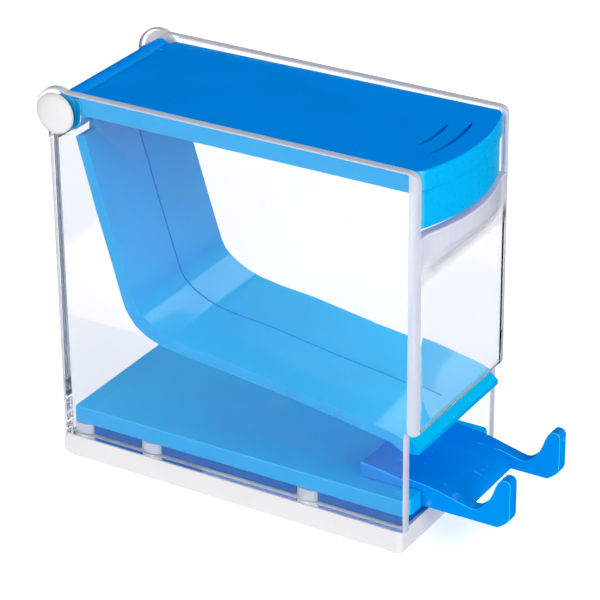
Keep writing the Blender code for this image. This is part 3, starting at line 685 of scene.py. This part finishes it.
def makeBase():
    s = {"corner": 1.6 * mm, "rearChamfer": 2.7 * mm, "edge": 0.45 * mm,
         "recess": 3.2 * mm, "recessTop": 3.1 * mm}
    base = addBlock("whiteBase", baseLow, baseHigh, 0)
    takeUp(base)
    bpy.ops.object.mode_set(mode="EDIT")
    pickEdges(base, lambda a, b: max(a.x, b.x) < baseLow.x + hair and max(a.z, b.z) < baseLow.z + hair)
    bpy.ops.mesh.bevel(offset=s["rearChamfer"], segments=6, affect="EDGES")
    pickEdges(base, lambda a, b: abs(a.z - b.z) > 2 * mm and abs(a.x - b.x) < hair)
    bpy.ops.mesh.bevel(offset=s["corner"], segments=6, affect="EDGES")
    roundSharp(s["edge"], 3, 50)
    bpy.ops.object.mode_set(mode="OBJECT")
    for place in hopperSizes["padPlaces"][:4]:
        cut(base, uprightRod("way", place, -past, baseHigh.z + past, hopperSizes["screwWay"]),
            uprightRod("recess", place, -past, s["recessTop"], s["recess"], 48))
    return finishPiece(base, whiteAbs, "case", ["base_plate"])


def makeScrew(number, x, y):
    s = {"headLow": 1.0 * mm, "headHigh": 2.8 * mm, "headRadius": 2.9 * mm, "headRound": 0.7 * mm,
         "shank": 1.25 * mm, "tip": 12.4 * mm, "tipRadius": 0.35 * mm, "taper": 1.6 * mm, "pitch": 1.0 * mm,
         "crest": 0.3 * mm, "slot": 0.7 * mm, "slotHalf": 1.7 * mm, "slotDepth": 1.1 * mm}
    start = (0, s["headRadius"] - s["headRound"])
    clearSelection()
    bpy.ops.mesh.primitive_circle_add(vertices=32, radius=start[1], fill_type="NGON",
                                      location=(x, y, s["headLow"]))
    screw = bpy.context.object
    screw.name = f"baseScrew{number}"
    # Rounded head, shank, then a row of thread crests to the tip
    headTop = s["headHigh"] - s["headLow"]
    rings = [(0.3 * mm, s["headRadius"] - 0.15 * mm), (s["headRound"], s["headRadius"]),
             (headTop, s["headRadius"]), (headTop + hair, s["shank"])]
    height = headTop + 0.6 * mm
    tip = s["tip"] - s["headLow"]
    while height < tip - s["taper"]:
        rings += [(height, s["shank"]), (height + s["pitch"] / 2, s["shank"] + s["crest"])]
        height += s["pitch"]
    rings += [(height, s["shank"]), (tip, s["tipRadius"])]
    bpy.ops.object.mode_set(mode="EDIT")
    bpy.ops.mesh.select_all(action="SELECT")
    drawRings(start, rings, (0, 0, 1), (x, y, 0))
    applyPlace(screw)
    depth = s["headLow"] + s["slotDepth"]
    long, thin = s["slotHalf"], s["slot"] / 2
    cut(screw, addBlock("slot", (x - long, y - thin, 0), (x + long, y + thin, depth), 0),
        addBlock("slot", (x - thin, y - long, 0), (x + thin, y + long, depth), 0))
    return finishPiece(screw, steel, "case", [f"base_screw_{number}"], 30)


makeBase()
for number, place in enumerate(hopperSizes["padPlaces"][:4], start=1):
    makeScrew(number, *place)


drawerSizes = {
    "gap": 0.3 * mm,
    "keelRear": 51.8 * mm,
    "armInner": 12.25 * mm,
    "tongueHalf": 8 * mm,
    "tongueRear": 8 * mm,
    "pusher": 4 * mm,
    "springSeat": -44 * mm,
    "springAxis": 10.2 * mm,
    "channelTop": 13.4 * mm,
    "webTop": 10.1 * mm,
    "rimLow": 10.0 * mm,
    "notchRear": 34.5 * mm,
    "bodyHalf": 21.2 * mm,
    "slideGap": 0.08 * mm,
    "edge": 0.35 * mm,
    "dipRear": 0.5 * mm,
    "dipFront": 1.3 * mm,
    "dipLength": 16 * mm,
    "plateRear": 34.2 * mm,
    "plateLow": 10.5 * mm,
    "plateTop": [(34.2, 19.2), (40, 18.35), (46, 17.5), (53.5, 16.8), (57, 16.1), (60, 15.3), (62, 14.3),
                 (62.8, 13.6), (63.1, 12.6), (63.1, 10.5)],
    "armTop": [(50, 16.2), (60, 15.3), (64, 14.3), (66.2, 13.85), (67.5, 14.05), (68.7, 14.9), (70.2, 16.4),
               (71.2, 17.9), (72.1, 19.9), (72.7, 21.7), (73.4, 23.3), (74.3, 24.4), (74.8, 24.8), (76.1, 24.8),
               (76.8, 24.4)],
    "armFront": [(77.2, 23.6), (77.2, 14.2), (76.9, 13.2), (76.2, 12.3), (75, 11.3), (73.7, 10.4), (54, 10.4),
                 (54, 14)],
    "cornerRound": 2 * mm,
    "wayRadius": 4.65 * mm,
    "threadTop": 13 * mm,
    "pegRadius": 1.4 * mm,
    "tongueLow": 10.6 * mm,
    "pusherLow": 7.6 * mm,
}


def makeGuide():
    s = drawerSizes
    guide = addBlock("drawerGuide", (guideLow.x, guideLow.y, s["rimLow"]), guideHigh, 0)
    takeUp(guide)
    bpy.ops.object.mode_set(mode="EDIT")
    pickEdges(guide, lambda a, b: min(a.x, b.x) > guideHigh.x - hair and abs(a.z - b.z) > 2 * mm)
    bpy.ops.mesh.bevel(offset=s["cornerRound"], segments=8, affect="EDGES")
    roundSharp(s["edge"], 3, 50)
    bpy.ops.object.mode_set(mode="OBJECT")
    body = addBlock("body", (guideLow.x + 2 * mm, -s["bodyHalf"], guideLow.z),
                    (guideHigh.x - 1.5 * mm, s["bodyHalf"], s["rimLow"] + 0.4 * mm), 0.3 * mm)
    for place in hopperSizes["padPlaces"]:
        cut(body, uprightRod("way", place, 0, s["rimLow"], s["wayRadius"], 40))
    join(guide, body)
    slotHalf = -drawerLow.y + s["slideGap"]
    channelHalf = s["tongueHalf"] + s["gap"]
    channelRear = s["tongueRear"] - drawerTravel - 2 * mm
    troughHalf = springHigh.y + 2 * s["gap"]
    throughNotch = s["notchRear"] + past
    notch = addBlock("notch", (s["notchRear"], -slotHalf, s["webTop"]),
                     (guideHigh.x + past, slotHalf, guideHigh.z + past), 0.2 * mm, 2)
    channel = addBlock("channel", (channelRear, -channelHalf, s["webTop"]),
                       (throughNotch, channelHalf, s["channelTop"]), 0)
    trough = addBlock("trough", (s["springSeat"] - s["gap"], -troughHalf, guideLow.z - past),
                      (throughNotch, troughHalf, s["channelTop"] - 0.05 * mm), 0)
    cut(guide, notch, channel, trough)
    for place in hopperSizes["padPlaces"][:4]:
        cut(guide, uprightRod("thread", place, guideLow.z - past, s["threadTop"], hopperSizes["screwWay"], 24))
    pegPlaces = [(s["springSeat"] + along * mm, 0, s["springAxis"]) for along in (-2, 7)]
    join(guide, addRod("peg", *pegPlaces, s["pegRadius"], 24, 0.3 * mm))
    finishPiece(guide, floorAbs, "case", ["drawer_guide"])
    # Painted shade: the faces below the rim take the darker blue, which stands in for the shade between the
    # guide and the base; that blue is also less glossy
    guide.data.materials.append(shadedKeelAbs)
    for face in guide.data.polygons:
        face.material_index = 1 if face.center.z < s["rimLow"] - 2 * hair else 0
    return guide


# Each arm comes up out of the tray's dip and ends in its hook
def drawerArm(low, high):
    s = drawerSizes
    return pullOutline("drawerArm", inMillimetres(s["armTop"] + s["armFront"]), low, high, edge=s["edge"])


# The tray is sliced along its length, and its top rows are lowered to a dip that is deepest in the middle
def trayPlate(half):
    s = drawerSizes
    under = guideHigh.z + s["slideGap"]
    outline = inMillimetres(s["plateTop"])
    outline += [(s["keelRear"], s["plateLow"]), (s["keelRear"], under), (s["plateRear"], under)]
    plate = pullOutline("drawerTray", outline, -half, half, edge=0)
    takeUp(plate)
    bpy.ops.object.mode_set(mode="EDIT")
    # The foot keeps sharp edges, so that no dark line runs round it on the guide
    pickEdges(plate, lambda a, b: min(a.z, b.z) > under + hair
              and (abs(a.y - b.y) < hair or max(a.x, b.x) < s["plateRear"] + hair))
    bpy.ops.mesh.bevel(offset=s["edge"], segments=3, affect="EDGES")
    for step in range(1, 20):
        bpy.ops.mesh.select_all(action="SELECT")
        bpy.ops.mesh.bisect(plane_co=(0, half * (step / 10 - 1), 0), plane_no=(0, 1, 0))
    bpy.ops.object.mode_set(mode="OBJECT")
    for vertex in plate.data.vertices:
        x, y, z = vertex.co
        onFront = x > s["keelRear"] + 1 * mm and z > s["plateLow"] + 0.7 * mm
        if z > under + 0.5 * mm or onFront:
            share = min(1, max(0, (x - s["plateRear"]) / s["dipLength"]))
            dip = s["dipRear"] + (s["dipFront"] - s["dipRear"]) * share
            vertex.co.z -= dip * (1 - (y / half) ** 2)
    return plate


def makeDrawer():
    s = drawerSizes
    outer = -drawerLow.y
    drawer = trayPlate(outer - 0.02 * mm)
    join(drawer, drawerArm(s["armInner"], outer), drawerArm(-outer, -s["armInner"]))
    tongueTop = s["channelTop"] - s["gap"]
    tongue = addBlock("tongue", (s["tongueRear"], -s["tongueHalf"], s["tongueLow"]),
                      (s["keelRear"] + 2 * mm, s["tongueHalf"], tongueTop), 0.3 * mm)
    half = springHigh.y
    seat = s["tongueRear"] - s["pusher"]
    pusher = addBlock("pusher", (seat, -half, s["pusherLow"]),
                      (s["tongueRear"] + 1 * mm, half, tongueTop - 0.02 * mm), 0.2 * mm)
    pegPlaces = [(seat + along * mm, 0, s["springAxis"]) for along in (1, -6)]
    join(drawer, tongue, pusher, addRod("peg", *pegPlaces, s["pegRadius"], 24, 0.3 * mm))
    return finishPiece(drawer, trayAbs, "drawer", ["drawer"])


# A wire ring is wound turn by turn with the screw tool
def makeSpring():
    s = {"wire": 0.3 * mm, "coil": 2.2 * mm, "turns": 13, "stepsPerTurn": 24, "axis": drawerSizes["springAxis"]}
    start = springLow.x + s["wire"]
    clearSelection()
    bpy.ops.mesh.primitive_circle_add(vertices=10, radius=s["wire"], location=(start, s["coil"], s["axis"]),
                                      rotation=(0, math.radians(90), math.radians(90)))
    spring = bpy.context.object
    spring.name = "drawerSpring"
    applyPlace(spring)
    bpy.ops.object.modifier_add(type="SCREW")
    winding = spring.modifiers[-1]
    winding.axis = "X"
    winding.angle = 2 * math.pi * s["turns"]
    winding.steps = s["stepsPerTurn"] * s["turns"]
    winding.render_steps = winding.steps
    winding.screw_offset = springHigh.x - springLow.x - 2 * s["wire"]
    winding.iterations = 1
    winding.use_merge_vertices = False
    centre = bpy.data.objects.new("springAxis", None)
    bpy.context.scene.collection.objects.link(centre)
    centre.location = (start, 0, s["axis"])
    winding.object = centre
    bpy.ops.object.modifier_apply(modifier=winding.name)
    bpy.data.objects.remove(centre, do_unlink=True)
    takeUp(spring)
    bpy.ops.object.mode_set(mode="EDIT")
    bpy.ops.mesh.select_all(action="SELECT")
    bpy.ops.mesh.fill_holes(sides=12)
    bpy.ops.mesh.select_all(action="SELECT")
    bpy.ops.mesh.normals_make_consistent(inside=False)
    bpy.ops.object.mode_set(mode="OBJECT")
    spring = finishPiece(spring, steel, "case", ["drawer_spring"], 60)
    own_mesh(spring)


makeGuide()
makeDrawer()
makeSpring()


rampSizes = {
    "face": [(-44.8, 97), (-38.8, 76.2), (-33.5, 59), (-31.2, 51.8), (-30.0, 49.6), (-28.3, 48.0),
             (-26.2, 46.5), (-22.6, 44.7), (-18.5, 43.5), (-12, 42.5), (-2.4, 41.7), (19, 38.4), (33.9, 36.7),
             (46.8, 34.2)],
    "lip": [(50.6, 32.9), (51.8, 32.5), (54.2, 30.6), (54.2, 29.2), (51.8, 28.6)],
    "under": [(48.9, 29.9), (46.6, 31.3), (33.9, 33.4), (18.9, 35.6), (-4, 38.4), (-14, 39.3), (-22.8, 40.6),
              (-26.5, 41.8), (-29, 43.1), (-31.2, 44.7), (-32.9, 46.8), (-34.2, 49.0), (-35, 51.2),
              (-37.7, 60.8), (-42.1, 75.5), (-47.6, 95.8)],
    "neck": [(-44.6, 95), (-44.2, 101.2), (-46.8, 101.2), (-47.2, 95)],
    "neckHalf": 16.6 * mm,
    "half": 22 * mm,
    "ejectorMarks": [(-30.6, 46.4), (16.8, 37.2), (31.2, 35.1)],
    "markRadius": 1.3 * mm,
    "markWidth": 0.3 * mm,
    "markDepth": 0.15 * mm,
    "step": 0.3,  # in mm, as the outlines are
    "lineDepth": 0.6 * mm,
    "lineLow": 0.1 * mm,
    "lineHigh": 1.1 * mm,
}


# The two halves of the mould met a little out of step, which leaves a line down the middle of the ramp
def rampHalf(low, high, step):
    s = rampSizes
    outline = [(x - step, z - step) for x, z in s["face"] + s["lip"]] + s["under"]
    return pullOutline("rollRamp", inMillimetres(outline), low, high, edge=0.2 * mm, segments=2, sharp=55)


def makeRamp():
    s = rampSizes
    half, depth = s["half"], s["lineDepth"]
    ramp = rampHalf(-half, 0.3 * mm, 0)
    join(ramp, rampHalf(0, half, s["step"]))
    face = inMillimetres(s["face"])
    below = [(x - depth, z - depth) for x, z in face]
    above = [(face[-1][0] + 1 * mm, face[-1][1] + 1 * mm), (face[0][0] + 60 * mm, face[0][1] + 1 * mm)]
    cut(ramp, pullOutline("line", face[:1] + below + above, s["lineLow"], s["lineHigh"], edge=0))
    join(ramp, pullOutline("neck", inMillimetres(s["neck"]), -s["neckHalf"], s["neckHalf"], edge=0.3 * mm))
    for sign in (-1, 1):
        for x, z in inMillimetres(s["ejectorMarks"]):
            low, high = sorted((sign * (half - s["markDepth"]), sign * (half + past)))
            mark = addRod("mark", (x, low, z), (x, high, z), s["markRadius"], 24)
            inside = s["markRadius"] - s["markWidth"]
            middle = addRod("middle", (x, low - past, z), (x, high + past, z), inside, 24)
            cut(ramp, cut(mark, middle))
    return finishPiece(ramp, rampAbs, "ramp", ["ramp"])


makeRamp()


lidSizes = {
    "half": 22.1 * mm,
    "rear": -46.2 * mm,
    "topRear": 107 * mm,
    "rise": 0.8 * mm,
    "skirtBottom": 102 * mm,
    "apronBottom": 91.8 * mm,
    "wall": 2 * mm,
    "plate": 2.6 * mm,
    "setBack": 0.6 * mm,
    "cornerRound": 1.6 * mm,
    "roll": (-50.3 * mm, 103.9 * mm, 3.05 * mm),
    "lugRadius": 5.2 * mm,
    "lugRear": 3.7 * mm,
    "lugInner": 17 * mm,
    "grooves": [(51.3 * mm, 11.3 * mm), (45.7 * mm, 7.8 * mm)],
    "grooveHalf": 0.75 * mm,
    "grooveDepth": 1.7 * mm,
    "topEdge": 0.55 * mm,
    "apronRear": 44 * mm,
    "apronTrim": 51.6 * mm,  # the apron is cut off straight behind this
    "neckLow": 102.6 * mm,
    "neckTop": 105.5 * mm,
    "lugTop": 106.2 * mm,
    "lugRound": 4 * mm,
    "boreInner": 12.5 * mm,
    "boreRadius": 2 * mm,
}


def lidOutline(inset, rear):
    s = lidSizes
    half = s["half"] - inset
    corner = s["cornerRound"]
    cornerY = half - corner
    frontX = hopperSizes["lipFront"] - inset
    cornerX = frontX - bowBack(cornerY)
    cut45 = 0.45 * corner
    outline = [(rear, -half), (cornerX - corner, -half), (cornerX - cut45, -half + cut45)]
    steps = 36
    for step in range(steps + 1):
        y = cornerY * (2 * step / steps - 1)
        outline.append((frontX - bowBack(y), y))
    return outline + [(cornerX - cut45, half - cut45), (cornerX - corner, half), (rear, half)]


def lidApron():
    s = lidSizes
    low, high = s["apronBottom"], s["skirtBottom"]
    apron = pullOutline("apron", lidOutline(s["setBack"], s["apronRear"]), low, high + 1 * mm, "xy", 0.3 * mm)
    inside = lidOutline(s["setBack"] + s["wall"], s["apronRear"] - past)
    hollow = pullOutline("hollow", inside, low - past, high + past, "xy", 0)
    trim = addBlock("trim", (30 * mm, -30 * mm, 80 * mm), (s["apronTrim"], 30 * mm, high + 0.3 * mm), 0)
    return cut(apron, hollow, trim)


def fingerGroove(x, halfLength):
    s = lidSizes
    front, rear = [], []
    for step in range(25):
        y = halfLength * (step / 12 - 1)
        taper = (1 - abs(y / halfLength) ** 4) ** 0.5
        front.append((x - bowBack(y) + s["grooveHalf"] * taper, y))
        rear.append((x - bowBack(y) - s["grooveHalf"] * taper, y))
    outline = front + rear[-2:0:-1]
    return pullOutline("groove", outline, lidHigh.z - s["grooveDepth"], lidHigh.z + past, "xy", 0)


def makeLid():
    s = lidSizes
    lid = pullOutline("hingedLid", lidOutline(0, s["rear"]), s["skirtBottom"], s["topRear"], "xy", s["topEdge"])
    # The top rises a little towards the front
    for vertex in lid.data.vertices:
        overSkirt = (vertex.co.z - s["topRear"] + 1 * mm) / (1 * mm)
        if overSkirt > 0:
            share = (vertex.co.x - s["rear"]) / (hopperSizes["lipFront"] - s["rear"])
            vertex.co.z += s["rise"] * share * overSkirt
    inside = lidOutline(s["wall"], s["rear"] - past)
    hollow = pullOutline("hollow", inside, s["skirtBottom"] - past, s["topRear"] - s["plate"], "xy", 0)
    cut(lid, hollow)
    join(lid, lidApron())
    rollX, rollZ, rollRadius = s["roll"]
    roll = addRod("roll", (rollX, -s["half"], rollZ), (rollX, s["half"], rollZ), rollRadius, 48, 0.3 * mm)
    neckHalf = s["half"] - 0.2 * mm
    neck = addBlock("neck", (rollX, -neckHalf, s["neckLow"]), (s["rear"] + 1 * mm, neckHalf, s["neckTop"]), 0)
    join(lid, neck, roll)
    lugFront = s["rear"] + 0.6 * mm
    lugCorner = (lugFront - s["lugRound"], hinge.z - s["lugRadius"] + s["lugRound"])
    outline = arcPoints((hinge.x, hinge.z), s["lugRear"], 130, 215, 10)
    outline += arcPoints((hinge.x, hinge.z), s["lugRadius"], 245, 270, 4)
    outline += arcPoints(lugCorner, s["lugRound"], 270, 360, 8)
    outline += [(lugFront, s["lugTop"]), (rollX, s["lugTop"])]
    for sign in (-1, 1):
        low, high = sorted((sign * s["lugInner"], sign * (s["half"] - 0.1 * mm)))
        join(lid, pullOutline("lug", outline, low, high, edge=0.3 * mm))
        boreEnds = [(hinge.x, sign * y, hinge.z) for y in (s["boreInner"], s["half"] + past)]
        cut(lid, addRod("bore", *boreEnds, s["boreRadius"], 32))
    for x, halfLength in s["grooves"]:
        cut(lid, fingerGroove(x, halfLength))
    return finishPiece(lid, lidAbs, "lid", ["lid"])


# A flat disc is drawn out ring by ring into a low dome, then into its shaft
def makeHingePin(side, sign):
    s = {"cap": 5.6 * mm, "height": 2.5 * mm, "foot": 0.15 * mm, "rim": 0.55 * mm, "shaft": 1.7 * mm,
         "inner": 13 * mm, "gap": 0.3 * mm}
    face = caseHigh.y + s["gap"]
    start = (0, s["cap"] - s["foot"])
    clearSelection()
    bpy.ops.mesh.primitive_circle_add(vertices=56, radius=start[1], fill_type="NGON",
                                      location=(hinge.x, sign * face, hinge.z),
                                      rotation=(math.radians(90), 0, 0))
    pin = bpy.context.object
    pin.name = f"hingePin{side}"
    applyPlace(pin)
    rings = [(s["foot"], s["cap"]), (s["rim"], s["cap"])]
    for step in range(1, 9):
        angle = math.radians(90 * step / 8)
        dome = s["rim"] + (s["height"] - s["rim"]) * math.sin(angle)
        rings.append((dome, max(0.05 * mm, s["cap"] * math.cos(angle))))
    bpy.ops.object.mode_set(mode="EDIT")
    bpy.ops.mesh.select_all(action="SELECT")
    drawRings(start, rings, (0, sign, 0), (hinge.x, 0, hinge.z))
    bpy.ops.object.mode_set(mode="OBJECT")
    shaftEnds = [(hinge.x, sign * y, hinge.z) for y in (face + 0.5 * mm, s["inner"])]
    join(pin, addRod("shaft", *shaftEnds, s["shaft"], 32, 0.4 * mm))
    return finishPiece(pin, whiteAbs, "case", [f"hinge_pin_{side.lower()}"])


makeLid()
makeHingePin("Left", 1)
makeHingePin("Right", -1)


def makeSweep():
    clearSelection()
    bpy.ops.mesh.primitive_plane_add(size=4, location=(0, 0, -0.02 * mm))
    sweep = bpy.context.object
    sweep.name = "paperSweep"
    sweep.data.materials.append(paleSweep())


# Each lamp's place, what it points at, its width and height, its power, and whether glossy faces mirror it
softboxes = {
    "frontBox": ((0.95, -0.35, 0.5), (0, 0, 0.05), 0.6, 0.5, 4.2, True),
    "nearBox": ((-0.25, -1.0, 0.55), (0, 0, 0.03), 0.7, 0.5, 2.5, True),
    "farBox": ((0.1, 0.95, 0.6), (0, 0, 0.05), 0.6, 0.5, 2.6, False),
    "farGlint": ((0.1, 0.95, 0.6), (0, 0, 0.05), 0.3, 0.5, 0.5, True),
    "lowBox": ((0.1, -1.0, 0.12), (0, 0, 0.01), 0.7, 0.2, 0.8, True),
}


def addSoftbox(name, place, target, width, height, power, mirrored):
    clearSelection()
    bpy.ops.object.light_add(type="AREA", location=place)
    lamp = bpy.context.object
    lamp.name = name
    lamp.data.shape = "RECTANGLE"
    lamp.data.size = width
    lamp.data.size_y = height
    lamp.data.energy = power
    lamp.visible_glossy = mirrored
    lamp.rotation_euler = (Vector(target) - Vector(place)).to_track_quat("-Z", "Y").to_euler()
    return lamp


cameraValues = {
    "target": (0, 0, 60 * mm),
    "azimuth": 58.77,
    "elevation": 26.93,
    "roll": -0.611,
    "distance": 739.95 * mm,
    "aside": 5.149 * mm,
    "lower": -8.947 * mm,
    "lens": 168.35,
}


# The direction from the object to the camera
def cameraBack():
    azimuth, elevation = math.radians(cameraValues["azimuth"]), math.radians(cameraValues["elevation"])
    level = math.cos(elevation)
    return Vector((level * math.cos(azimuth), -level * math.sin(azimuth), math.sin(elevation)))


# A bright room with a dimmer wall behind the object, so that level glossy faces keep their colour
def makeWorld():
    v = {"bright": "#F9F8F7", "dim": "#8A8E96", "strength": 0.62, "dimFrom": 0.62, "dimTo": 0.9}
    world = bpy.data.worlds.new("paleRoom")
    bpy.context.scene.world = world
    world.use_nodes = True
    tree = world.node_tree
    back = cameraBack()
    direction = addNode(tree, "ShaderNodeTexCoord").outputs["Generated"]
    facing = addNode(tree, "ShaderNodeVectorMath", {"operation": "DOT_PRODUCT"}, {
        0: direction, 1: (-back.x, -back.y, back.z)})
    share = addNode(tree, "ShaderNodeMapRange", {"interpolation_type": "SMOOTHSTEP"}, {
        "Value": facing.outputs["Value"], "From Min": v["dimFrom"], "From Max": v["dimTo"]})
    colour = addNode(tree, "ShaderNodeMix", {"data_type": "RGBA"}, {
        0: share.outputs["Result"], 6: linearColor(v["bright"]), 7: linearColor(v["dim"])})
    background = tree.nodes["Background"]
    tree.links.new(colour.outputs[2], background.inputs["Color"])
    background.inputs["Strength"].default_value = v["strength"]


def makeCamera():
    v = cameraValues
    roll = math.radians(v["roll"])
    back = cameraBack()
    levelRight = Vector((0, 0, 1)).cross(back).normalized()
    levelUp = back.cross(levelRight)
    right = math.cos(roll) * levelRight + math.sin(roll) * levelUp
    up = -math.sin(roll) * levelRight + math.cos(roll) * levelUp
    place = Vector(v["target"]) + back * v["distance"] + right * v["aside"] + up * v["lower"]
    clearSelection()
    bpy.ops.object.camera_add(location=place)
    camera = bpy.context.object
    turn = Matrix((right, up, back)).transposed()
    camera.rotation_euler = turn.to_euler()
    camera.data.lens = v["lens"]
    camera.data.sensor_width = 36
    bpy.context.scene.camera = camera


# Long light paths, so that the thick clear edges aren't cut off dark, and a print-like black point
def setPicture():
    scene = bpy.context.scene
    scene.cycles.max_bounces = 32
    scene.cycles.glossy_bounces = 24
    scene.cycles.transmission_bounces = 24
    scene.cycles.transparent_max_bounces = 24
    scene.view_settings.view_transform = "Standard"
    scene.view_settings.use_curve_mapping = True
    scene.view_settings.curve_mapping.black_level = (0.035, 0.035, 0.035)


makeSweep()
makeWorld()
for name, values in softboxes.items():
    addSoftbox(name, *values)
makeCamera()
setPicture()
print("stage and camera set")
